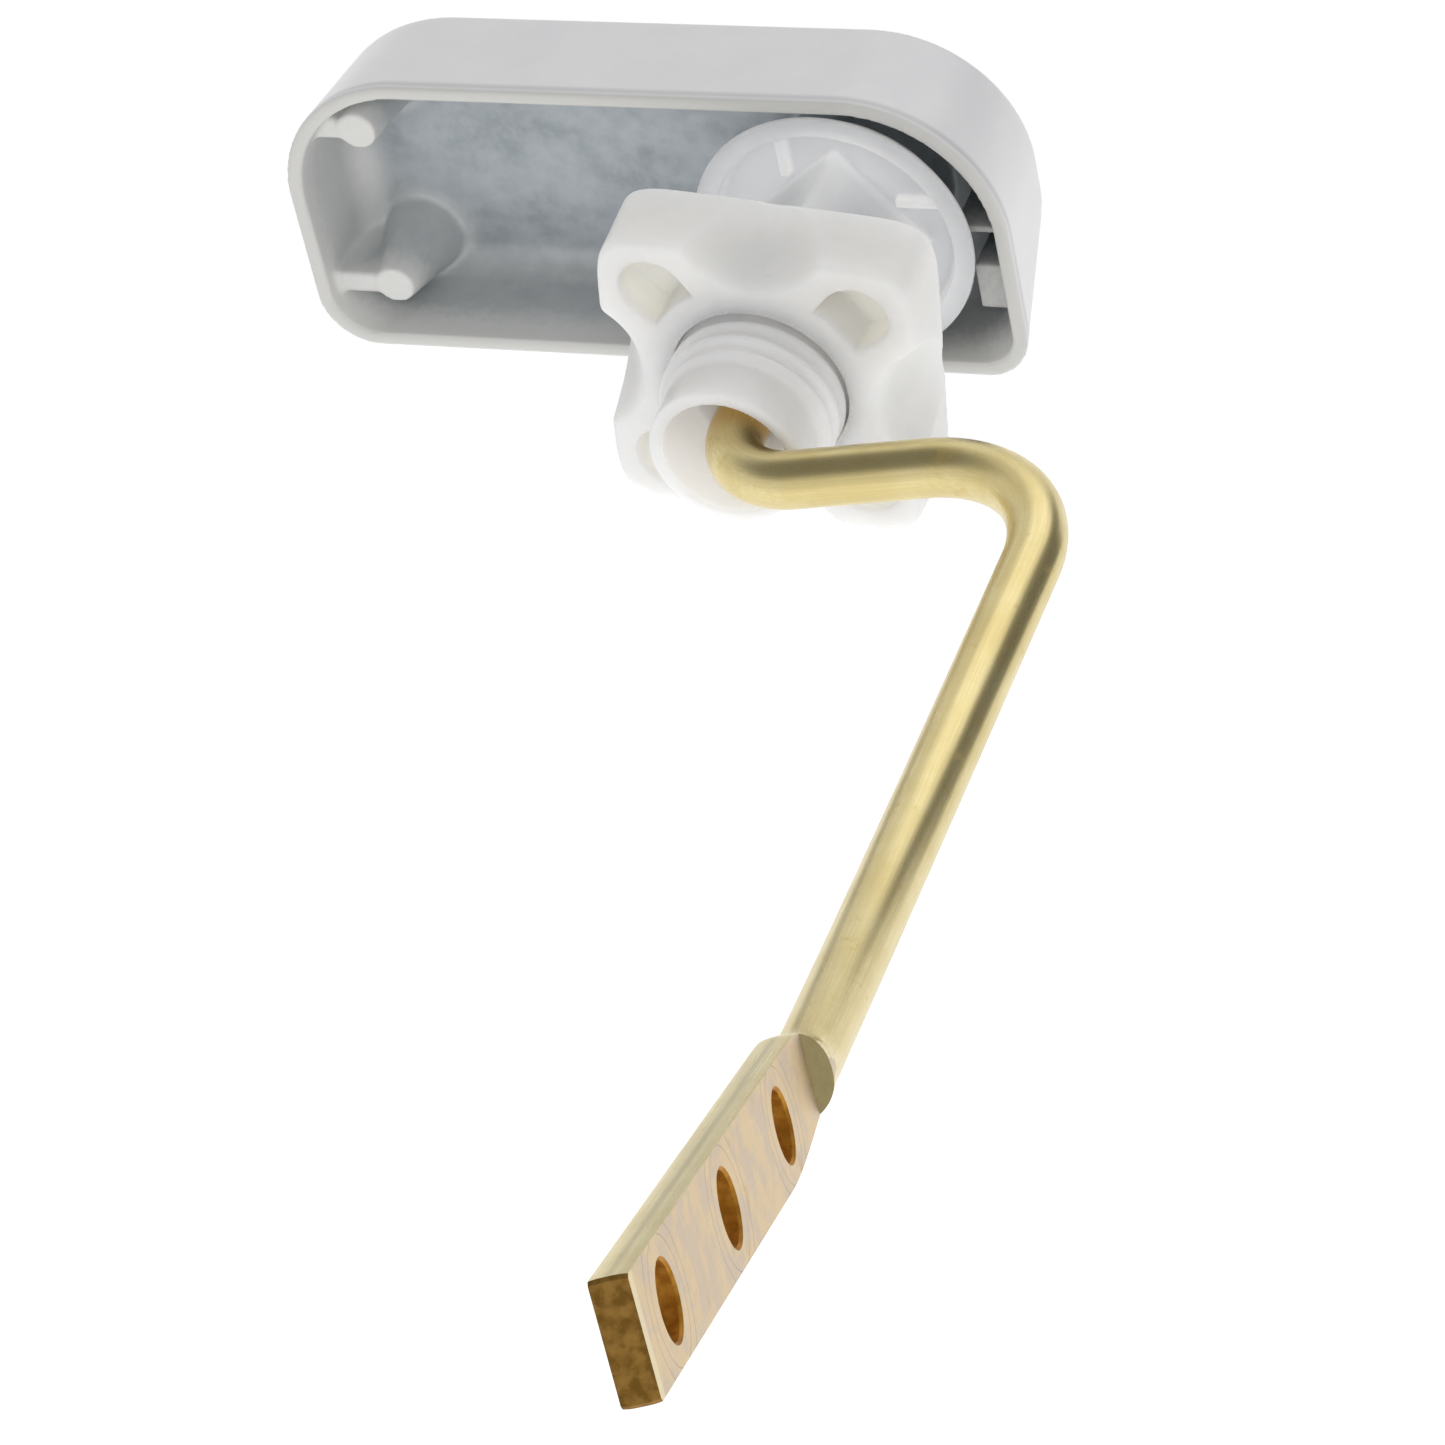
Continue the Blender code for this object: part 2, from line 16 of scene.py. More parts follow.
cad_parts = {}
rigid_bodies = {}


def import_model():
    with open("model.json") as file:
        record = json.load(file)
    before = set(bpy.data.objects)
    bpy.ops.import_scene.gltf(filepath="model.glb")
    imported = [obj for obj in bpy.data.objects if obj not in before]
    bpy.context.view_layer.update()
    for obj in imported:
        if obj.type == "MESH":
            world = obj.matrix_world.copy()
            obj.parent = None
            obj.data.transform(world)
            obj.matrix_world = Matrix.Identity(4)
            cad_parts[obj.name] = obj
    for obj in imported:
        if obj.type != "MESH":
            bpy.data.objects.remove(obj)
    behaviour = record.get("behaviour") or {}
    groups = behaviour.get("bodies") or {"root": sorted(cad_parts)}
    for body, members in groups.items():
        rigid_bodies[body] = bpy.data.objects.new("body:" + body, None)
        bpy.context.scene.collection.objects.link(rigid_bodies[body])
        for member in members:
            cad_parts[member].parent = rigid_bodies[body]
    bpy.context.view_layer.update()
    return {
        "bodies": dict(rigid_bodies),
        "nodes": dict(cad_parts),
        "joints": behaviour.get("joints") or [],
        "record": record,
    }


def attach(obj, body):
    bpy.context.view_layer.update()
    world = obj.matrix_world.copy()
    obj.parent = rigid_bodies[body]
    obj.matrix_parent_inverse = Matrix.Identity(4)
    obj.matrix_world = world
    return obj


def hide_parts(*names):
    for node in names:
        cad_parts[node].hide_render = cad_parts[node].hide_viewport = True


MM = 0.001

# Brass arm
ROD_RADIUS = 3.0 * MM
ROD_HUB_END = 10.2 * MM
ARM_CORNERS = [
    (0.0, -41.9 * MM, 0.0),
    (39.3 * MM, -40.5 * MM, 5.7 * MM),
    (37.3 * MM, -99.2 * MM, 2.9 * MM),
    (44.7 * MM, -139.8 * MM, 19.3 * MM),
]
ARM_BEND_RADII = [9.0 * MM, 15.0 * MM, 158.0 * MM, 20.0 * MM]
ARM_TIP = (59.8 * MM, -207.1 * MM, 59.8 * MM)
FLAT_WIDTH_DIRECTION = (-0.2625, 0.4539, 0.8515)
FLAT_UPPER_HALF = 4.5 * MM
FLAT_LOWER_HALF = 5.2 * MM
FLAT_THICKNESS = 3.0 * MM
FLAT_LENGTH = 74.0 * MM
BLANK_LENGTH = 80.5 * MM
UPPER_SHOULDER = 9.5 * MM
LOWER_SHOULDER = 24.0 * MM
LINK_HOLE_RADIUS = 3.02 * MM
HOLE_CHAMFER = 0.25 * MM
FIRST_HOLE = 9.45 * MM
HOLE_PITCH = 25.06 * MM
HOLE_COUNT = 3
SPOT_FACE_RADII = (4.9 * MM, 6.3 * MM)
SPOT_FACE_WIDTHS = (0.12 * MM, 0.14 * MM)

# Handle casting
HANDLE_LEFT = -63.2 * MM
HANDLE_RIGHT = 19.6 * MM
HANDLE_BOTTOM = -17.7 * MM
HANDLE_TOP = 17.5 * MM
HANDLE_RIM = 0.4 * MM
HANDLE_FRONT = 14.7 * MM
HANDLE_FLOOR = 12.6 * MM
WALL = 1.7 * MM
# Corner radii: top right, top left, lower left, lower right
RIM_RADII = (17.0 * MM, 15.5 * MM, 6.6 * MM, 5.2 * MM)
FRONT_RADII = (16.0 * MM, 17.5 * MM, 12.0 * MM, 14.5 * MM)
BOTTOM_RISE = 1.5 * MM
SIDE_DRAFT = 0.8 * MM
FRONT_EDGE_RADIUS = 1.0 * MM
FLOOR_EDGE_RADIUS = 3.0 * MM
POST_TIP = 2.3 * MM
POST_TIP_RADIUS = 2.2 * MM
UPPER_POST = (-54.0 * MM, 10.2 * MM, 3.6 * MM)
LOWER_POST = (-54.3 * MM, -10.6 * MM, 5.0 * MM)
WEB_THICKNESS = 2.6 * MM
SLEEVE_RADIUS = 5.2 * MM
SLEEVE_END = -22.0 * MM
FLOOR_BOSS_RADIUS = 9.5 * MM
FLOOR_BOSS_END = 6.2 * MM
HUB_CLEARANCE = 0.3 * MM
WALL_RIB = (12.0 * MM, 4.4 * MM, -1.4 * MM, -0.6 * MM)
WALL_BLOCK = (13.6 * MM, 4.4 * MM, -11.5 * MM, -5.6 * MM)

# Bush
FLANGE_RADIUS = 15.6 * MM
FLANGE_BACK_RADIUS = 13.2 * MM
FLANGE_THICKNESS = 3.6 * MM
FLANGE_EDGE = 0.5 * MM
RECESS_RADIUS = 13.1 * MM
RECESS_DEPTH = 2.4 * MM
BACK_COLLAR_RADIUS = 9.0 * MM
BACK_COLLAR_END = 5.9 * MM
RIB_PLACE = (-4.9 * MM, -3.9 * MM)
RIB_TOP = 0.9 * MM
SQUARE_BOSS_HALF = 7.5 * MM
SQUARE_BOSS_END = -9.0 * MM
SQUARE_BOSS_TURN = math.radians(38.5)
BOSS_CORE_RADIUS = 7.3 * MM
SHANK_RADIUS = 9.5 * MM
BUSH_BORE = 5.5 * MM
MOUTH_BORE = 6.75 * MM
MOUTH_DEPTH = 10.0 * MM
SHANK_END = -37.3 * MM
NOSE_RADIUS = 8.2 * MM
NOSE_START = -32.0 * MM
THREAD_PITCH = 2.3 * MM
THREAD_DEPTH = 0.7 * MM
THREAD_START = -8.4 * MM

# Lock nut
NUT_FRONT = -25.8 * MM
NUT_BACK = -16.3 * MM
NUT_HALF = 17.2 * MM
NUT_FRONT_HALF = 16.9 * MM
NUT_SQUARENESS = 8.5
NUT_TURN = math.radians(-6.3)
NUT_BORE = 9.62 * MM
SCALLOP_RADIUS = 8.8 * MM
SCALLOP_FRONT_REACH = 12.7 * MM
NUT_FRONT_ROUND = 0.9 * MM
POCKET_REACH = 15.4 * MM
POCKET_RADIUS = 3.6 * MM
POCKET_INNER = 12.5 * MM
POCKET_INNER_HALF = 3.2 * MM
POCKET_DEPTH = 5.5 * MM

# How finely the shapes are drawn
TURN_STEPS = 144
NUT_POINTS = 480
THREAD_POINTS = 120
THREAD_RINGS_PER_TURN = 20
SECTION_POINTS = 96
GRAIN_OF_HANDLE = 0.34 * MM
GRAIN_OF_PLASTIC = 0.22 * MM
SOFTENING_PASSES = 3
BEND_CHORD = math.radians(3)
SHARP_ANGLE = math.radians(28)
MASK_EDGE = 0.02 * MM

# Studio
FLOOR_HEIGHT = -0.12
FLOOR_GLOW = 0.42
# Strength of the glow painted into the bush's flange recess and mouth bore
PAINTED_GLOW_STRENGTH = 0.14
FILL_POWER = 1.6
STUDIO_LEVEL = 0.85
# Each patch: level, direction, radius and soft edge in degrees
STUDIO_PATCHES = [
    (0.22, (-0.32, -0.14, 0.93), 28, 26),
    (0.20, (0.68, 0.72, 0.14), 22, 16),
    (1.35, (0.10, 0.68, 0.66), 18, 14),
    (0.42, (0.95, -0.25, 0.10), 30, 25),
]
FLAG_PLACE = (0.35, 0.20, -0.02)
FLAG_SIZE = (0.28, 0.34)
CAMERA_PLACE = (0.2002, -0.4483, 0.3387)
CAMERA_RIGHT = (0.93431, 0.30844, -0.17867)
CAMERA_UP = (-0.07107, 0.65237, 0.75456)
CAMERA_LENS = 139.5


def link(obj):
    """Puts an object into the scene and hands it back."""
    bpy.context.scene.collection.objects.link(obj)
    return obj


def finish_bmesh(name, shape, matrix=Matrix.Identity(4)):
    bmesh.ops.recalc_face_normals(shape, faces=shape.faces)
    mesh = bpy.data.meshes.new(name)
    shape.to_mesh(mesh)
    shape.free()
    obj = bpy.data.objects.new(name, mesh)
    obj.matrix_world = matrix
    return link(obj)


def along_y(x=0.0, y=0.0, z=0.0):
    """Turns a shape made along its own +Z so that it runs along +Y."""
    return Matrix.Translation((x, y, z)) @ Matrix.Rotation(-math.pi / 2, 4, "X")


def cone(name, start_radius, end_radius, length, matrix):
    """A cone or cylinder from its matrix's origin along the matrix's Z."""
    shape = bmesh.new()
    bmesh.ops.create_cone(
        shape,
        cap_ends=True,
        segments=TURN_STEPS,
        radius1=start_radius,
        radius2=end_radius,
        depth=length,
        matrix=Matrix.Translation((0.0, 0.0, length / 2)),
    )
    return finish_bmesh(name, shape, matrix)


def box(name, low, high, matrix=Matrix.Identity(4)):
    shape = bmesh.new()
    low = Vector(low)
    size = Vector(high) - low
    place = Matrix.Translation(low + size / 2) @ Matrix.Diagonal((*size, 1.0))
    bmesh.ops.create_cube(shape, size=1.0, matrix=place)
    return finish_bmesh(name, shape, matrix)


def loft(name, rings, matrix=Matrix.Identity(4)):
    """A closed solid through rings that all have the same number of points."""
    shape = bmesh.new()
    made = [[shape.verts.new(point) for point in ring] for ring in rings]
    for near, far in zip(made, made[1:]):
        for i in range(len(near)):
            j = (i + 1) % len(near)
            shape.faces.new((near[i], near[j], far[j], far[i]))
    shape.faces.new(made[0])
    shape.faces.new(made[-1])
    return finish_bmesh(name, shape, matrix)


def turned(name, profile):
    """A profile of (radius, Y) points turned about the pivot axis."""
    mesh = bpy.data.meshes.new(name)
    edges = [(i, (i + 1) % len(profile)) for i in range(len(profile))]
    mesh.from_pydata([(radius, 0.0, y) for radius, y in profile], edges, [])
    obj = link(bpy.data.objects.new(name, mesh))
    obj.matrix_world = along_y()
    screw = obj.modifiers.new("turn", "SCREW")
    screw.axis = "Z"
    screw.steps = TURN_STEPS
    screw.render_steps = TURN_STEPS
    screw.use_merge_vertices = True
    screw.merge_threshold = 0.00001
    return obj


def settle(obj):
    """Turns an object and its modifiers into one plain mesh in the frame's own coordinates."""
    bpy.context.view_layer.update()
    graph = bpy.context.evaluated_depsgraph_get()
    mesh = bpy.data.meshes.new_from_object(obj.evaluated_get(graph))
    mesh.transform(obj.matrix_world)
    name = obj.name
    bpy.data.objects.remove(obj, do_unlink=True)
    return link(bpy.data.objects.new(name, mesh))


def combine(target, others, operation):
    """Settles target after cutting or joining the others, which are then removed."""
    for other in others:
        change = target.modifiers.new(other.name, "BOOLEAN")
        change.operation = operation
        change.object = other
        change.solver = "EXACT"
    target = settle(target)
    for other in others:
        bpy.data.objects.remove(other, do_unlink=True)
    return target


def cut(target, *others):
    return combine(target, others, "DIFFERENCE")


def join(target, *others):
    return combine(target, others, "UNION")


def moulded(obj, grain):
    """Redraws a solid as an even fine mesh and softens its edges, as a mould leaves them."""
    grid = obj.modifiers.new("grid", "REMESH")
    grid.mode = "VOXEL"
    grid.voxel_size = grain
    soften = obj.modifiers.new("soften", "SMOOTH")
    soften.factor = 0.5
    soften.iterations = SOFTENING_PASSES
    obj = settle(obj)
    obj.data.shade_smooth()
    return obj


def arc(centre, radius, start, end, steps):
    """Points on an arc, both ends included, angles in degrees."""
    found = []
    for i in range(steps + 1):
        angle = math.radians(start + (end - start) * i / steps)
        found.append((centre[0] + radius * math.cos(angle), centre[1] + radius * math.sin(angle)))
    return found


def prism(name, outline, near, far, matrix=Matrix.Identity(4)):
    """A flat XY outline drawn out along Z from near to far."""
    return loft(name, [[(x, y, z) for x, y in outline] for z in (near, far)], matrix)


def smooth(value):
    """0 below 0, 1 above 1, and an even S between them."""
    value = min(max(value, 0.0), 1.0)
    return value * value * (3.0 - 2.0 * value)


def set_mask(obj, name, rule):
    """Stores rule(x, y, z), from 0 to 1, on each vertex for the material to read."""
    mask = obj.data.attributes.new(name, "FLOAT", "POINT")
    mask.data.foreach_set("value", [rule(*vertex.co) for vertex in obj.data.vertices])


# Arm ------------------------------------------------------------------------------------------------


def rounded_route(corners, radii, start, end):
    """Points from start to end past each corner, which is rounded to its radius."""
    stops = [Vector(start), *[Vector(corner) for corner in corners], Vector(end)]
    points = [stops[0]]
    for before, corner, after, radius in zip(stops, stops[1:], stops[2:], radii):
        back = (before - corner).normalized()
        ahead = (after - corner).normalized()
        turn = math.pi - back.angle(ahead)
        normal = (back + ahead).normalized()
        centre = corner + normal * radius / math.cos(turn / 2)
        side = (ahead - back).normalized()
        count = max(math.ceil(turn / BEND_CHORD), 8)
        for i in range(count + 1):
            angle = turn * (i / count - 0.5)
            points.append(centre + radius * (side * math.sin(angle) - normal * math.cos(angle)))
    points.append(stops[-1])
    return points


def arm_directions():
    """The arm's last straight run as (axis, width, face normal), its axis towards the tip."""
    axis = (Vector(ARM_TIP) - Vector(ARM_CORNERS[-1])).normalized()
    width = Vector(FLAT_WIDTH_DIRECTION)
    width = (width - axis * width.dot(axis)).normalized()
    return axis, width, width.cross(axis).normalized()


def flat_matrix():
    """The flat's own frame at the tip: X along its width, Y along its normal, Z back along the rod."""
    axis, width, normal = arm_directions()
    matrix = Matrix((width, normal, -axis)).transposed().to_4x4()
    if matrix.determinant() < 0:
        matrix = Matrix((width, -normal, -axis)).transposed().to_4x4()
    return Matrix.Translation(ARM_TIP) @ matrix


def blank_section(distance, inset=0.0):
    """The pressed blank's outline at a distance from the tip: an oval that squares up as it widens."""
    spread = BLANK_LENGTH - distance
    core = ROD_RADIUS * 0.96
    upper = core + (FLAT_UPPER_HALF - core) * smooth(spread / UPPER_SHOULDER) - inset
    lower = core + (FLAT_LOWER_HALF - core) * smooth(spread / LOWER_SHOULDER) - inset
    height = core + 0.07 * ROD_RADIUS * smooth(spread / (UPPER_SHOULDER / 2))
    power = 2.0 / (2.0 + 1.6 * smooth(spread / (UPPER_SHOULDER * 1.5)))
    ring = []
    for i in range(SECTION_POINTS):
        angle = 2 * math.pi * i / SECTION_POINTS
        across = math.copysign(abs(math.cos(angle)) ** power, math.cos(angle))
        rise = math.copysign(abs(math.sin(angle)) ** power, math.sin(angle))
        ring.append((across * (upper if across > 0 else lower), rise * height, distance))
    return ring


def make_tube(route):
    curve = bpy.data.curves.new("brass_arm", "CURVE")
    curve.dimensions = "3D"
    curve.bevel_depth = ROD_RADIUS
    curve.bevel_resolution = 20
    curve.use_fill_caps = True
    spline = curve.splines.new("POLY")
    spline.points.add(len(route) - 1)
    for point, place in zip(spline.points, route):
        point.co = (*place, 1.0)
    return settle(link(bpy.data.objects.new("brass_arm", curve)))


def weld(obj, distance):
    """Merges points that lie closer together than the distance."""
    shape = bmesh.new()
    shape.from_mesh(obj.data)
    bmesh.ops.remove_doubles(shape, verts=shape.verts, dist=distance)
    bmesh.ops.dissolve_degenerate(shape, edges=shape.edges, dist=distance)
    bmesh.ops.recalc_face_normals(shape, faces=shape.faces)
    shape.to_mesh(obj.data)
    shape.free()


def set_grain(obj, route):
    """Stores how far along the rod each vertex lies, and the way round, for the drawing lines."""
    steps = []
    length = 0.0
    for near, far in zip(route, route[1:]):
        gap = (far - near).length
        count = max(round(gap / (0.5 * MM)), 1)
        steps += [(near.lerp(far, i / count), length + gap * i / count) for i in range(count)]
        length += gap
    tree = KDTree(len(steps))
    for i, (place, _) in enumerate(steps):
        tree.insert(place, i)
    tree.balance()
    values = []
    for vertex in obj.data.vertices:
        place, index, _ = tree.find(vertex.co)
        ahead = steps[min(index + 1, len(steps) - 1)][0] - steps[max(index - 1, 0)][0]
        ahead.normalize()
        away = vertex.co - place
        along = steps[index][1] + away.dot(ahead)
        away -= ahead * away.dot(ahead)
        values += [away.x, along, away.z]
    grain = obj.data.attributes.new("grain", "FLOAT_VECTOR", "POINT")
    grain.data.foreach_set("vector", values)


def set_flat_masks(rod, to_flat, middle):
    """Marks the milled faces, the facets at their root, the sawn end and the hole walls, and stores the
    place across and along the flat."""
    half = FLAT_THICKNESS / 2
    turn = to_flat.to_3x3()
    values = {"face": [], "facet": [], "end": [], "hole": []}
    for polygon in rod.data.polygons:
        place = to_flat @ polygon.center
        normal = turn @ polygon.normal
        step = (place.z - FIRST_HOLE + HOLE_PITCH / 2) % HOLE_PITCH - HOLE_PITCH / 2
        reach = math.hypot(place.x - middle, step)
        near_flat = place.z < FLAT_LENGTH + 4 * MM
        on_face = near_flat and abs(normal.y) > 0.99 and abs(place.y) > half - MASK_EDGE
        on_facet = near_flat and place.z > FLAT_LENGTH and 0.6 < abs(normal.y) < 0.8
        values["face"].append(float(on_face))
        values["facet"].append(float(on_facet))
        values["end"].append(float(place.z < 0.2 * MM))
        in_hole = abs(place.y) < half - MASK_EDGE and reach < LINK_HOLE_RADIUS + HOLE_CHAMFER
        values["hole"].append(float(in_hole))
    for name, numbers in values.items():
        mask = rod.data.attributes.new(name, "FLOAT", "FACE")
        mask.data.foreach_set("value", numbers)
    spots = []
    for vertex in rod.data.vertices:
        place = to_flat @ vertex.co
        spots += [place.x - middle, place.z, place.y]
    flat = rod.data.attributes.new("flat", "FLOAT_VECTOR", "POINT")
    flat.data.foreach_set("vector", spots)


def link_hole(matrix):
    """The cutter for one link hole, flared at both faces of the flat."""
    root = FLAT_THICKNESS / 2 - HOLE_CHAMFER
    flare = 2 * MM
    rings = []
    for height in (-root - flare, -root, root, root + flare):
        radius = LINK_HOLE_RADIUS + abs(height) - root
        turns = [2 * math.pi * i / SECTION_POINTS for i in range(SECTION_POINTS)]
        rings.append([(radius * math.cos(turn), radius * math.sin(turn), height) for turn in turns])
    return loft("link_hole", rings, matrix)


def make_arm():
    """The brass rod with its bends, pressed flat and link holes."""
    axis = arm_directions()[0]
    end = Vector(ARM_TIP) - axis * (BLANK_LENGTH - 5 * MM)
    route = rounded_route(ARM_CORNERS, ARM_BEND_RADII, (0.0, ROD_HUB_END, 0.0), end)
    rod = make_tube(route)
    weld(rod, 0.001 * MM)
    frame = flat_matrix()
    steps = 48
    stations = [BLANK_LENGTH - LOWER_SHOULDER * i / steps for i in range(steps + 1)]
    rings = [blank_section(distance) for distance in stations]
    rings.append(blank_section(0.3 * MM))
    rings.append(blank_section(0.0, 0.3 * MM))
    rod = join(rod, loft("flat_blank", rings, frame))

    half = FLAT_THICKNESS / 2
    clear = 4 * MM
    wedge = [
        (half, -clear),
        (half, FLAT_LENGTH),
        (half + clear, FLAT_LENGTH + clear),
        (half + clear, -clear),
    ]
    across = frame @ Matrix(((0, 0, 1, 0), (1, 0, 0, 0), (0, 1, 0, 0), (0, 0, 0, 1)))
    tools = []
    for flip in (1, -1):
        outline = [(flip * y, z) for y, z in wedge]
        tools.append(prism("face_cut", outline, -15 * MM, 15 * MM, across))
    middle = (FLAT_UPPER_HALF - FLAT_LOWER_HALF) / 2
    for i in range(HOLE_COUNT):
        centre = frame @ Matrix.Translation((middle, 0.0, FIRST_HOLE + i * HOLE_PITCH))
        tools.append(link_hole(centre @ Matrix.Rotation(math.pi / 2, 4, "X")))
    rod = cut(rod, *tools)
    weld(rod, 0.02 * MM)
    rod.data.shade_smooth()
    rod.data.set_sharp_from_angle(angle=SHARP_ANGLE)
    set_grain(rod, [*route, Vector(ARM_TIP)])
    set_flat_masks(rod, frame.inverted(), middle)
    return rod


# Handle ---------------------------------------------------------------------------------------------


def handle_corners(y, shrink):
    """The outline's corners at a depth, as (x, z, radius, start angle)."""
    share = (y - HANDLE_RIM) / (HANDLE_FRONT - HANDLE_RIM)
    left = HANDLE_LEFT + SIDE_DRAFT * share + shrink
    right = HANDLE_RIGHT - SIDE_DRAFT * share - shrink
    bottom = HANDLE_BOTTOM + BOTTOM_RISE * share + shrink
    top = HANDLE_TOP - shrink
    places = ((right, top), (left, top), (left, bottom), (right, bottom))
    radii = [rim + (front - rim) * share - shrink for rim, front in zip(RIM_RADII, FRONT_RADII)]
    return [(x, z, radius, 90 * i) for i, ((x, z), radius) in enumerate(zip(places, radii))]


def handle_ring(y, inset, rounding=0.0):
    """The handle's outline at a depth, inset by a wall and by the rounding of an edge."""
    ring = []
    for x, z, radius, start in handle_corners(y, inset + rounding):
        centre = (x - math.copysign(radius, x), z - math.copysign(radius, z))
        ring.extend((px, y, pz) for px, pz in arc(centre, radius, start, start + 90, 40))
    return ring


def cup(name, inset, start, end, edge):
    """A solid between two depths, inset from the handle's outline, its far edge rounded."""
    stations = [(start, 0.0), (start + (end - edge - start) / 2, 0.0)]
    for i in range(9):
        angle = math.pi / 2 * i / 8
        stations.append((end - edge + edge * math.sin(angle), edge * (1 - math.cos(angle))))
    return loft(name, [handle_ring(y, inset, rounding) for y, rounding in stations])


def make_cavity():
    """The handle's hollow: the inset outline less the posts, webs and ribs that stand in it."""
    cavity = cup("cavity", WALL, HANDLE_RIM - 2 * MM, HANDLE_FLOOR, FLOOR_EDGE_RADIUS)
    root = HANDLE_FLOOR + WALL
    tools = []
    for x, z, base in (UPPER_POST, LOWER_POST):
        tools.append(cone("post", POST_TIP_RADIUS, base, root - POST_TIP, along_y(x, POST_TIP, z)))
        low = (HANDLE_LEFT, POST_TIP + 0.2 * MM, z - WEB_THICKNESS / 2)
        tools.append(box("web", low, (x, root, z + WEB_THICKNESS / 2)))
    for x, y, low, high in (WALL_RIB, WALL_BLOCK):
        tools.append(box("rib", (x, y, low), (HANDLE_RIGHT, root, high)))
    return cut(cavity, *tools)


def wall_depth(x, y, z):
    """How far a point lies inside the handle's outer outline at its own depth."""
    corners = handle_corners(y, 0.0)
    right, top = corners[0][:2]
    left, bottom = corners[2][:2]
    if z > 0:
        nearest = 0 if x > 0 else 1
    else:
        nearest = 3 if x > 0 else 2
    radius = corners[nearest][2]
    from_side = min(right - x, x - left)
    from_end = min(top - z, z - bottom)
    if from_side < radius and from_end < radius:
        return radius - math.hypot(radius - from_side, radius - from_end)
    return min(from_side, from_end)


def overspray_and_paler_foot(x, y, z):
    """How much white overspray settles on the posts and the grip end's wall, and how much paler the
    cavity is made towards the lower wall's foot.
    """
    posts = 0.0
    for post_x, post_z, base in (UPPER_POST, LOWER_POST):
        reach = math.hypot(x - post_x, z - post_z)
        posts = max(posts, smooth(3.0 - 2.0 * reach / base))
    end = smooth((HANDLE_LEFT + 8 * MM - x) / (5 * MM))
    foot = smooth((-10 * MM - z) / (6 * MM))
    return max(0.4 * posts, 0.75 * end, 0.45 * foot)


def make_handle():
    """The hollow cast handle with its posts, ribs, floor boss and hub sleeve."""
    handle = cut(cup("coated_handle", 0.0, HANDLE_RIM, HANDLE_FRONT, FRONT_EDGE_RADIUS), make_cavity())
    root = HANDLE_FLOOR + WALL / 2
    hub = (("boss", FLOOR_BOSS_RADIUS, FLOOR_BOSS_END), ("sleeve", SLEEVE_RADIUS, SLEEVE_END))
    solids = [cone(name, radius, radius, root - end, along_y(y=end)) for name, radius, end in hub]
    handle = join(handle, *solids)
    length = ROD_HUB_END + HUB_CLEARANCE - SLEEVE_END + MM
    radius = ROD_RADIUS + HUB_CLEARANCE
    bore = cone("bore", radius, radius, length, along_y(y=SLEEVE_END - MM))
    handle = moulded(cut(handle, bore), GRAIN_OF_HANDLE)

    def bare(x, y, z):
        if y < HANDLE_RIM + 0.25 * MM and wall_depth(x, HANDLE_RIM, z) < WALL + 0.4 * MM:
            return 0.0
        if y > HANDLE_FLOOR + 0.5 * MM:
            return 0.0
        return smooth((wall_depth(x, y, z) - 0.6 * WALL) / (0.3 * WALL))

    set_mask(handle, "bare", bare)
    set_mask(handle, "overspray_and_paler_foot", overspray_and_paler_foot)
    return handle


# Bush -----------------------------------------------------------------------------------------------


def bush_profile():
    """The bush turned about the pivot axis, without its square boss, ribs and thread."""
    core = SHANK_RADIUS - THREAD_DEPTH - 0.2 * MM
    mouth = SHANK_END + MOUTH_DEPTH
    return [
        (BUSH_BORE, BACK_COLLAR_END),
        (BACK_COLLAR_RADIUS, BACK_COLLAR_END),
        (BACK_COLLAR_RADIUS, FLANGE_THICKNESS),
        (FLANGE_BACK_RADIUS, FLANGE_THICKNESS),
        (FLANGE_RADIUS, FLANGE_EDGE),
        (FLANGE_RADIUS - 0.1 * MM, 0.0),
        (RECESS_RADIUS + 0.2 * MM, 0.0),
        (RECESS_RADIUS - 0.2 * MM, RECESS_DEPTH),
        (BOSS_CORE_RADIUS, RECESS_DEPTH),
        (BOSS_CORE_RADIUS, SQUARE_BOSS_END + 1.5 * MM),
        (core, SQUARE_BOSS_END + 1 * MM),
        (core, NOSE_START),
        (NOSE_RADIUS, NOSE_START - 0.4 * MM),
        (NOSE_RADIUS, SHANK_END),
        (MOUTH_BORE, SHANK_END),
        (MOUTH_BORE, mouth),
        (BUSH_BORE, mouth + (MOUTH_BORE - BUSH_BORE)),
    ]


def thread_ring(step):
    """One ring of the thread: its crest climbs one pitch with each turn and dies out at both ends."""
    y = THREAD_START - step * THREAD_PITCH / THREAD_RINGS_PER_TURN
    fade = smooth((THREAD_START - y) / THREAD_PITCH) * smooth((y - NOSE_START) / (0.6 * THREAD_PITCH))
    ring = []
    for i in range(THREAD_POINTS):
        turn = i / THREAD_POINTS
        phase = (y / THREAD_PITCH + turn) % 1.0
        crest = smooth(1.5 - abs(phase - 0.5) * 4.0)
        radius = SHANK_RADIUS - THREAD_DEPTH * (1.0 - fade * crest)
        angle = 2 * math.pi * turn
        ring.append((radius * math.cos(angle), y, radius * math.sin(angle)))
    return ring


def bore_clearance():
    """A cutter that keeps the thread and the boss out of the bush's bore."""
    radius = MOUTH_BORE + 0.3 * MM
    return cone("bore_clearance", radius, radius, 60 * MM, along_y(y=-50 * MM))


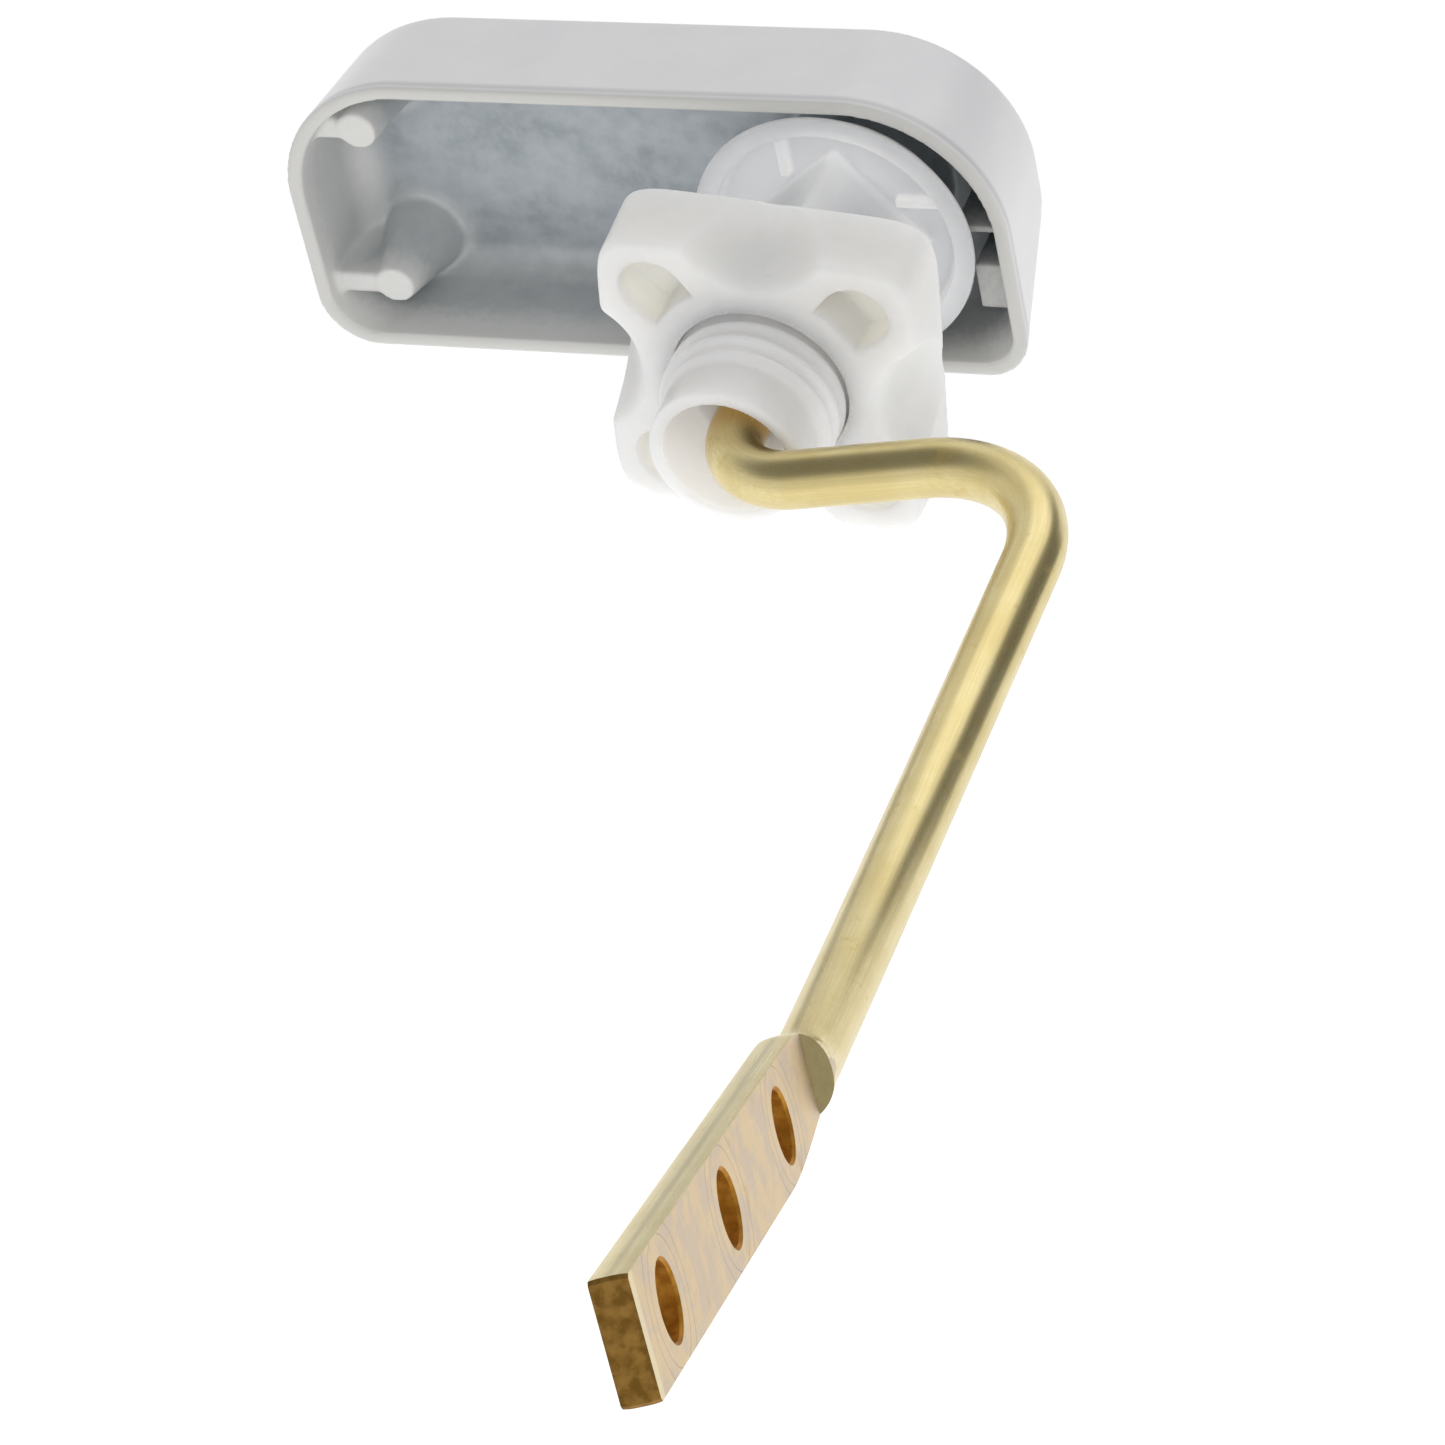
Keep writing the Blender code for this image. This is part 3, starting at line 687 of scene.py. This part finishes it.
def make_bush():
    """The plastic bush: recessed flange with four ribs, square boss, threaded shank and plain bore."""
    count = math.floor((THREAD_START - NOSE_START) / THREAD_PITCH * THREAD_RINGS_PER_TURN)
    thread = cut(loft("thread", [thread_ring(step) for step in range(count + 1)]), bore_clearance())
    half = SQUARE_BOSS_HALF
    spin = Matrix.Rotation(-SQUARE_BOSS_TURN, 4, "Y")
    boss = box("boss", (-half, SQUARE_BOSS_END, -half), (half, RECESS_DEPTH + 0.3 * MM, half), spin)
    corners = boss.modifiers.new("corners", "BEVEL")
    corners.width = 0.7 * MM
    corners.segments = 3
    additions = [thread, cut(boss, bore_clearance())]
    left, right = RIB_PLACE
    for i in range(4):
        low = (left, RIB_TOP, MOUTH_BORE + 0.6 * MM)
        high = (right, RECESS_DEPTH + 0.3 * MM, RECESS_RADIUS - 0.4 * MM)
        additions.append(box("rib", low, high, Matrix.Rotation(math.pi / 2 * i, 4, "Y")))
    bush = moulded(join(turned("moulded_bush", bush_profile()), *additions), GRAIN_OF_PLASTIC)

    # Painted glow: half strength on the mouth bore's wall, and rising towards the recess floor inside
    # the flange recess.
    def painted_glow_share(x, y, z):
        reach = math.hypot(x, z)
        if reach < MOUTH_BORE + 0.1 * MM and y < SHANK_END + MOUTH_DEPTH:
            return 0.5
        if reach > RECESS_RADIUS + 0.1 * MM or y > RECESS_DEPTH + 0.2 * MM:
            return 0.0
        return smooth(y / RECESS_DEPTH)

    set_mask(bush, "painted_glow", painted_glow_share)
    return bush


# Nut ------------------------------------------------------------------------------------------------


def nut_ring(y, inset=0.0):
    """The nut's outline at a depth: a rounded square whose sides are scooped out towards the front."""
    share = (NUT_BACK - y) / (NUT_BACK - NUT_FRONT)
    half = NUT_HALF + (NUT_FRONT_HALF - NUT_HALF) * share
    reach = SCALLOP_RADIUS + NUT_HALF + (SCALLOP_FRONT_REACH - NUT_HALF) * share
    ring = []
    for i in range(NUT_POINTS):
        angle = 2 * math.pi * i / NUT_POINTS
        across = abs(math.cos(angle)) ** NUT_SQUARENESS + abs(math.sin(angle)) ** NUT_SQUARENESS
        radius = half / across ** (1 / NUT_SQUARENESS)
        swing = (angle + math.pi / 4) % (math.pi / 2) - math.pi / 4
        depth = SCALLOP_RADIUS**2 - (reach * math.sin(swing)) ** 2
        if depth > 0:
            radius = min(radius, reach * math.cos(swing) - math.sqrt(depth))
        radius -= inset
        ring.append((radius * math.cos(angle), y, radius * math.sin(angle)))
    return ring


def pocket_turn(i):
    """The turn about the pivot axis that brings +X to the middle of a lobe."""
    return Matrix.Rotation(-NUT_TURN - math.radians(45 + 90 * i), 4, "Y")


def make_nut():
    """The lock nut with four lobes, a pocket in each and a plain bore over the thread."""
    steps = 40
    rings = [nut_ring(NUT_BACK, 0.4 * MM), nut_ring(NUT_BACK - 0.4 * MM)]
    rings += [
        nut_ring(NUT_BACK - (NUT_BACK - NUT_FRONT - NUT_FRONT_ROUND) * i / steps)
        for i in range(2, steps + 1)
    ]
    for i in range(1, 7):
        angle = math.pi / 2 * i / 6
        y = NUT_FRONT + NUT_FRONT_ROUND * (1 - math.sin(angle))
        rings.append(nut_ring(y, NUT_FRONT_ROUND * (1 - math.cos(angle))))
    nut = loft("lobed_nut", rings, Matrix.Rotation(-NUT_TURN, 4, "Y"))
    tools = [cone("bore", NUT_BORE, NUT_BORE, 12 * MM, along_y(y=NUT_FRONT - MM))]
    outline = arc((POCKET_REACH, 0.0), POCKET_RADIUS, 95, -95, 40)
    lean = math.degrees(math.asin(POCKET_INNER_HALF / POCKET_INNER))
    outline += arc((0.0, 0.0), POCKET_INNER, -lean, lean, 12)
    for i in range(4):
        front = Matrix.Translation((0.0, NUT_FRONT, 0.0))
        face = pocket_turn(i) @ front @ Matrix.Rotation(math.pi / 2, 4, "X")
        tools.append(prism("pocket", outline, -POCKET_DEPTH, POCKET_DEPTH, face))
    nut = moulded(cut(nut, *tools), GRAIN_OF_PLASTIC)
    turns = [pocket_turn(i).inverted() for i in range(4)]
    near = 0.35 * MM

    # Painted light: a warmer, much paler colour fills the bore and the pockets, rising with depth into
    # the pockets, to lift the shade in them.
    def hollow(x, y, z):
        if math.hypot(x, z) < NUT_BORE + near:
            return 1.0
        for turn in turns:
            spot = turn @ Vector((x, y, z))
            in_round = math.hypot(spot.x - POCKET_REACH, spot.z) < POCKET_RADIUS + near
            in_neck = POCKET_INNER - near < spot.x < POCKET_REACH and abs(spot.z) < POCKET_RADIUS + near
            if (in_round or in_neck) and y < NUT_FRONT + POCKET_DEPTH + near:
                return smooth((y - NUT_FRONT) / (3 * MM))
        return 0.0

    set_mask(nut, "hollow", hollow)
    return nut


# Materials ------------------------------------------------------------------------------------------


class Surface:
    """A node material under construction, with short calls for the nodes it needs."""

    def __init__(self, name, **values):
        self.material = bpy.data.materials.new(name)
        self.material.use_nodes = True
        self.tree = self.material.node_tree
        self.shader = self.tree.nodes["Principled BSDF"]
        for key, value in values.items():
            self.shader.inputs[key.replace("_", " ")].default_value = value
        self.place = self.node("ShaderNodeTexCoord").outputs["Object"]

    def node(self, kind, **inputs):
        made = self.tree.nodes.new(kind)
        for key, value in inputs.items():
            self.feed(made.inputs[key.replace("_", " ")], value)
        return made

    def feed(self, socket, value):
        if isinstance(value, bpy.types.NodeSocket):
            self.tree.links.new(value, socket)
        else:
            socket.default_value = value

    def set(self, key, value):
        self.feed(self.shader.inputs[key], value)

    def mask(self, name):
        made = self.node("ShaderNodeAttribute")
        made.attribute_name = name
        return made.outputs["Fac"]

    def vector(self, name):
        made = self.node("ShaderNodeAttribute")
        made.attribute_name = name
        return made.outputs["Vector"]

    def noise(self, size, detail=3.0, place=None):
        """Even noise from 0 to 1 whose lumps are about size metres."""
        made = self.node("ShaderNodeTexNoise", Scale=1.0 / size, Detail=detail, Roughness=0.55)
        self.feed(made.inputs["Vector"], place or self.place)
        return made.outputs["Fac"]

    def stretched(self, place, x, y, z):
        made = self.node("ShaderNodeMapping", Scale=(x, y, z))
        self.feed(made.inputs["Vector"], place)
        return made.outputs["Vector"]

    def span(self, value, low, high, to_low=0.0, to_high=1.0):
        """Maps low..high smoothly to to_low..to_high, held at both ends."""
        made = self.node("ShaderNodeMapRange")
        made.interpolation_type = "SMOOTHSTEP"
        limits = {"From Min": low, "From Max": high, "To Min": to_low, "To Max": to_high}
        for key, number in limits.items():
            made.inputs[key].default_value = number
        self.feed(made.inputs["Value"], value)
        return made.outputs["Result"]

    def math(self, operation, first, second):
        made = self.node("ShaderNodeMath")
        made.operation = operation
        self.feed(made.inputs[0], first)
        self.feed(made.inputs[1], second)
        return made.outputs[0]

    def mix(self, factor, first, second):
        """Mixes two colours, or a colour and a colour socket."""
        made = self.node("ShaderNodeMix")
        made.data_type = "RGBA"
        self.feed(made.inputs[0], factor)
        for socket, value in ((made.inputs[6], first), (made.inputs[7], second)):
            self.feed(socket, value if isinstance(value, bpy.types.NodeSocket) else (*value, 1.0))
        return made.outputs[2]

    def times(self, first, second):
        return self.math("MULTIPLY", first, second)

    def plus(self, first, second):
        return self.math("ADD", first, second)

    def minus(self, first, second):
        return self.math("SUBTRACT", first, second)

    def most(self, first, second):
        return self.math("MAXIMUM", first, second)

    def square(self, value):
        return self.times(value, value)

    def parts(self, vector):
        made = self.node("ShaderNodeSeparateXYZ")
        self.feed(made.inputs[0], vector)
        return made.outputs

    def axis(self, letter):
        return self.parts(self.place)[letter]

    def bump(self, height, distance, strength=1.0):
        made = self.node("ShaderNodeBump", Strength=strength, Distance=distance)
        self.feed(made.inputs["Height"], height)
        self.set("Normal", made.outputs["Normal"])


def coated_zinc():
    """White coat outside, a faint overspray and bare mottled zinc inside, with painted shade in a grey
    band behind the rim and at the cavity's right end.
    """
    look = Surface("coated_zinc_look", Specular_IOR_Level=0.5, Coat_Weight=0.25, Coat_Roughness=0.2)
    bare = look.mask("bare")
    depth = look.axis("Y")
    speck = look.noise(0.9 * MM, 4.0)
    cloud = look.noise(7 * MM, 3.0)
    ragged = look.plus(depth, look.times(speck, 3 * MM))
    spray = look.span(ragged, 2.5 * MM, 11.5 * MM, 1.0, 0.0)
    spray = look.most(spray, look.mask("overspray_and_paler_foot"))
    blotch = look.noise(1.7 * MM, 4.0)
    zinc = look.mix(look.span(cloud, 0.35, 0.65), (0.31, 0.345, 0.372), (0.39, 0.427, 0.455))
    zinc = look.mix(look.span(blotch, 0.3, 0.72, 0.0, 0.45), zinc, (0.50, 0.53, 0.55))
    # Painted shade: the bare zinc is darkened almost to black towards the cavity's right end, standing
    # in for the deep shadow there.
    corner = look.span(look.axis("X"), 8 * MM, 13 * MM, 0.0, 0.75)
    zinc = look.mix(corner, zinc, (0.11, 0.12, 0.13))
    zinc = look.mix(spray, zinc, (0.67, 0.665, 0.645))
    coat = look.mix(look.span(cloud, 0.3, 0.7), (0.79, 0.79, 0.805), (0.82, 0.82, 0.83))
    rim = look.span(depth, 0.4 * MM, 1.1 * MM, 1.0, 0.0)
    coat = look.mix(look.times(rim, 0.85), coat, (0.55, 0.545, 0.515))
    # Painted shade: a grey band on the walls just behind the rim stands in for the shadow line along the
    # rim's edge.
    painted_rim_shade_start = look.span(depth, 0.8 * MM, 1.2 * MM)
    painted_rim_shade = look.times(painted_rim_shade_start, look.span(depth, 1.3 * MM, 2.1 * MM, 1.0, 0.0))
    coat = look.mix(look.times(painted_rim_shade, 0.5), coat, (0.42, 0.42, 0.43))
    look.set("Base Color", look.mix(bare, coat, zinc))
    unsprayed = look.times(bare, look.span(spray, 0.0, 1.0, 1.0, 0.0))
    look.set("Metallic", look.times(unsprayed, 0.45))
    coat_roughness = look.span(speck, 0.3, 0.7, 0.28, 0.34)
    look.set("Roughness", look.plus(coat_roughness, look.times(bare, 0.22)))
    grit = look.times(speck, look.span(bare, 0.0, 1.0, 0.12, 1.0))
    grit = look.plus(grit, look.noise(2.2 * MM, 2.0))
    look.bump(grit, 0.05 * MM, 0.6)
    return look.material


def drawn_brass():
    """Drawn brass: fine lines along the rod, tarnish clouds, painted shade inside the bush's mouth,
    cutter arcs on the flat and a sawn end.
    """
    look = Surface("drawn_brass_look", Metallic=1.0)
    grain = look.vector("grain")
    lines = look.noise(0.18 * MM, 3.0, look.stretched(grain, 1.0, 0.02, 1.0))
    cloud = look.noise(6 * MM, 4.0)
    mottle = look.noise(1.1 * MM, 5.0)
    stain = look.span(look.noise(2.6 * MM, 5.0), 0.62, 0.74)
    colour = look.mix(look.span(cloud, 0.3, 0.7), (0.70, 0.58, 0.27), (0.77, 0.66, 0.35))
    colour = look.mix(look.span(lines, 0.35, 0.7, 0.0, 0.30), colour, (0.58, 0.46, 0.20))
    colour = look.mix(look.times(stain, 0.45), colour, (0.60, 0.42, 0.12))
    # Painted shade: the rod is darkened to a deep orange-brown inside the bush's mouth.
    painted_mouth_shade = look.span(look.axis("Y"), SHANK_END, SHANK_END + 4 * MM, 0.0, 0.7)
    colour = look.mix(painted_mouth_shade, colour, (0.55, 0.31, 0.07))

    across, along, through = look.parts(look.vector("flat"))
    crease = look.span(look.math("ABSOLUTE", through, 0.0), 0.05 * MM, 0.5 * MM, 0.6, 0.0)
    crease = look.times(crease, look.span(along, FLAT_LENGTH - 4 * MM, FLAT_LENGTH, 1.0, 0.0))
    colour = look.mix(crease, colour, (0.42, 0.35, 0.15))
    bow = look.math("DIVIDE", look.times(across, across), 26 * MM)
    arcs_place = look.node("ShaderNodeCombineXYZ", X=look.plus(along, bow)).outputs[0]
    arcs = look.noise(0.28 * MM, 3.0, arcs_place)
    step = look.node("ShaderNodeMath")
    step.operation = "WRAP"
    look.feed(step.inputs[0], look.minus(along, FIRST_HOLE))
    look.feed(step.inputs[1], HOLE_PITCH / 2)
    look.feed(step.inputs[2], -HOLE_PITCH / 2)
    reach = look.math("SQRT", look.plus(look.square(across), look.square(step.outputs[0])), 0.0)
    marks = [
        look.span(look.math("ABSOLUTE", look.minus(reach, radius), 0.0), 0.0, width, 1.0, 0.0)
        for radius, width in zip(SPOT_FACE_RADII, SPOT_FACE_WIDTHS)
    ]
    rings = look.most(*marks)
    tint = look.span(look.noise(3.5 * MM, 3.0), 0.4, 0.6)
    pink = look.mix(tint, (0.60, 0.47, 0.33), (0.69, 0.52, 0.29))
    milled = look.mix(look.span(arcs, 0.5, 0.72, 0.0, 0.6), pink, (0.76, 0.62, 0.40))
    milled = look.mix(look.span(arcs, 0.28, 0.45, 0.3, 0.0), milled, (0.44, 0.36, 0.29))
    milled = look.mix(look.span(along, 1.0 * MM, 1.6 * MM, 0.8, 0.0), milled, (0.80, 0.69, 0.42))
    milled = look.mix(look.times(rings, 0.6), milled, (0.28, 0.22, 0.16))

    face = look.mask("face")
    end = look.mask("end")
    hole = look.mask("hole")
    facet = look.mask("facet")
    colour = look.mix(face, colour, milled)
    sawn = look.mix(look.span(mottle, 0.35, 0.7), (0.20, 0.105, 0.020), (0.36, 0.205, 0.050))
    colour = look.mix(end, colour, sawn)
    bored = look.mix(look.span(mottle, 0.35, 0.7), (0.40, 0.175, 0.020), (0.58, 0.29, 0.045))
    colour = look.mix(hole, colour, bored)
    pressed = look.mix(mottle, (0.33, 0.265, 0.12), (0.50, 0.42, 0.22))
    colour = look.mix(look.times(facet, 0.85), colour, pressed)
    look.set("Base Color", colour)
    dull = look.most(look.most(end, hole), facet)
    rough = look.plus(look.span(lines, 0.3, 0.7, 0.27, 0.31), look.times(stain, 0.12))
    rough = look.plus(rough, look.times(face, 0.10))
    look.set("Roughness", look.plus(rough, look.times(dull, 0.25)))
    height = look.plus(lines, look.times(face, look.times(arcs, 1.5)))
    height = look.minus(height, look.times(rings, face))
    height = look.plus(height, look.times(dull, look.times(mottle, 3.0)))
    look.bump(height, 0.006 * MM, 0.6)
    return look.material


def natural_plastic(name, level):
    """Natural-white moulded plastic with faint flow clouds and a matt skin, as (look, colour)."""
    look = Surface(
        name,
        Subsurface_Weight=1.0,
        Subsurface_Radius=(1.0, 0.95, 0.85),
        Subsurface_Scale=9.0 * MM,
        IOR=1.49,
    )
    cloud = look.noise(5 * MM, 3.0)
    pale = (level, level, level - 0.01)
    paler = (level + 0.04, level + 0.035, level + 0.025)
    colour = look.mix(look.span(cloud, 0.3, 0.7), pale, paler)
    speck = look.span(look.noise(1.3 * MM, 2.0), 0.72, 0.80, 0.0, 0.25)
    colour = look.mix(speck, colour, (0.66, 0.64, 0.60))
    look.set("Roughness", look.span(cloud, 0.3, 0.7, 0.36, 0.48))
    look.bump(look.noise(0.5 * MM, 3.0), 0.03 * MM, 0.5)
    return look, colour


def bush_plastic():
    """Natural plastic with a painted glow: an emission in the flange recess and the mouth bore brightens
    them against their shade, as light soaking through the plastic would.
    """
    look, colour = natural_plastic("bush_plastic_look", 0.90)
    look.set("Base Color", colour)
    look.set("Emission Color", (1.0, 0.985, 0.96, 1.0))
    look.set("Emission Strength", look.times(look.mask("painted_glow"), PAINTED_GLOW_STRENGTH))
    return look.material


def nut_plastic():
    """Natural plastic, warmer in tint and painted paler in the pockets and the bore to lift the shade
    that falls in them.
    """
    look, colour = natural_plastic("nut_plastic_look", 0.735)
    look.set("Base Color", look.mix(look.mask("hollow"), colour, (0.96, 0.925, 0.85)))
    return look.material


def pin_steel():
    look = Surface("pin_steel_look", Metallic=1.0)
    lines = look.noise(0.15 * MM, 3.0, look.stretched(look.place, 0.05, 1.0, 1.0))
    look.set("Base Color", look.mix(lines, (0.45, 0.45, 0.45), (0.65, 0.65, 0.64)))
    look.set("Roughness", look.span(lines, 0.3, 0.7, 0.25, 0.45))
    look.bump(lines, 0.01 * MM, 0.5)
    return look.material


def pale_floor():
    look = Surface("floor_look", Specular_IOR_Level=0.1, Emission_Strength=FLOOR_GLOW)
    look.set("Emission Color", (1.0, 1.0, 1.0, 1.0))
    look.set("Base Color", look.mix(look.noise(0.3, 2.0), (0.93, 0.93, 0.93), (0.95, 0.95, 0.95)))
    look.set("Roughness", 0.9)
    return look.material


# Studio ---------------------------------------------------------------------------------------------


def make_floor():
    shape = bmesh.new()
    bmesh.ops.create_circle(shape, cap_ends=True, segments=96, radius=4.0)
    floor = finish_bmesh("floor", shape, Matrix.Translation((0.0, 0.0, FLOOR_HEIGHT)))
    floor.data.materials.append(pale_floor())


def area_light(name, place, target, size, power):
    data = bpy.data.lights.new(name, "AREA")
    data.shape = "RECTANGLE"
    data.size, data.size_y = size
    data.energy = power
    lamp = link(bpy.data.objects.new(name, data))
    direction = Vector(target) - Vector(place)
    turn = direction.to_track_quat("-Z", "Y").to_matrix().to_4x4()
    lamp.matrix_world = Matrix.Translation(place) @ turn
    return lamp


def shade_patch(tree, direction, level, centre, radius, soft, before):
    """Mixes a round patch of the studio, seen in one direction, over the level before."""
    dot = tree.nodes.new("ShaderNodeVectorMath")
    dot.operation = "DOT_PRODUCT"
    tree.links.new(direction, dot.inputs[0])
    dot.inputs[1].default_value = Vector(centre).normalized()
    edge = tree.nodes.new("ShaderNodeMapRange")
    edge.interpolation_type = "SMOOTHSTEP"
    edge.inputs["From Min"].default_value = math.cos(math.radians(radius + soft))
    edge.inputs["From Max"].default_value = math.cos(math.radians(radius))
    tree.links.new(dot.outputs["Value"], edge.inputs["Value"])
    mix = tree.nodes.new("ShaderNodeMix")
    mix.data_type = "FLOAT"
    tree.links.new(edge.outputs["Result"], mix.inputs[0])
    if isinstance(before, bpy.types.NodeSocket):
        tree.links.new(before, mix.inputs[2])
    else:
        mix.inputs[2].default_value = before
    mix.inputs[3].default_value = level
    return mix.outputs[0]


def make_flag():
    """A dark card behind the arm, seen only in reflections."""
    shape = bmesh.new()
    bmesh.ops.create_grid(shape, x_segments=1, y_segments=1, size=0.5)
    place = Vector(FLAG_PLACE)
    turn = Vector((place.x, place.y, 0.0)).to_track_quat("Z", "Y").to_matrix().to_4x4()
    size = Matrix.Diagonal((*FLAG_SIZE, 1.0, 1.0))
    card = finish_bmesh("flag", shape, Matrix.Translation(place) @ turn @ size)
    look = Surface("flag_look", Base_Color=(0.16, 0.16, 0.16, 1.0))
    card.data.materials.append(look.material)
    card.visible_camera = False
    card.visible_diffuse = False
    card.visible_shadow = False


def make_studio():
    """A bright round studio: a darker opening overhead, a dark corner, a dim side and a soft box."""
    world = bpy.context.scene.world or bpy.data.worlds.new("studio")
    bpy.context.scene.world = world
    world.use_nodes = True
    tree = world.node_tree
    backdrop = tree.nodes["Background"]
    backdrop.inputs["Color"].default_value = (1.0, 1.0, 1.0, 1.0)
    direction = tree.nodes.new("ShaderNodeTexCoord").outputs["Generated"]
    level = STUDIO_LEVEL
    for patch in STUDIO_PATCHES:
        level = shade_patch(tree, direction, *patch, level)
    seen = tree.nodes.new("ShaderNodeLightPath").outputs["Is Camera Ray"]
    mix = tree.nodes.new("ShaderNodeMix")
    mix.data_type = "FLOAT"
    tree.links.new(seen, mix.inputs[0])
    tree.links.new(level, mix.inputs[2])
    mix.inputs[3].default_value = 1.0
    tree.links.new(mix.outputs[0], backdrop.inputs["Strength"])


def make_lights():
    middle = (0.02, -0.08, 0.0)
    fill = area_light("fill", (0.24, -0.65, 0.48), middle, (0.35, 0.35), FILL_POWER)
    fill.visible_glossy = False


def make_camera():
    right = Vector(CAMERA_RIGHT).normalized()
    up = Vector(CAMERA_UP).normalized()
    data = bpy.data.cameras.new("camera")
    data.lens = CAMERA_LENS
    data.clip_start = 0.01
    camera = link(bpy.data.objects.new("camera", data))
    turn = Matrix((right, up, right.cross(up))).transposed().to_4x4()
    camera.matrix_world = Matrix.Translation(CAMERA_PLACE) @ turn
    bpy.context.scene.camera = camera


def dress(obj, look, body, node):
    obj.data.materials.clear()
    obj.data.materials.append(look)
    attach(obj, body)
    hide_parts(node)


def main():
    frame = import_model()
    dress(make_handle(), coated_zinc(), "lever", "handle_shell")
    dress(make_arm(), drawn_brass(), "lever", "arm_rod")
    dress(make_bush(), bush_plastic(), "bush", "mounting_bush")
    dress(make_nut(), nut_plastic(), "nut", "lock_nut")
    pin = frame["nodes"]["arm_pin"]
    pin.data.materials.clear()
    pin.data.materials.append(pin_steel())
    make_floor()
    make_studio()
    make_flag()
    make_lights()
    make_camera()
    bpy.context.scene.view_settings.view_transform = "Standard"


main()
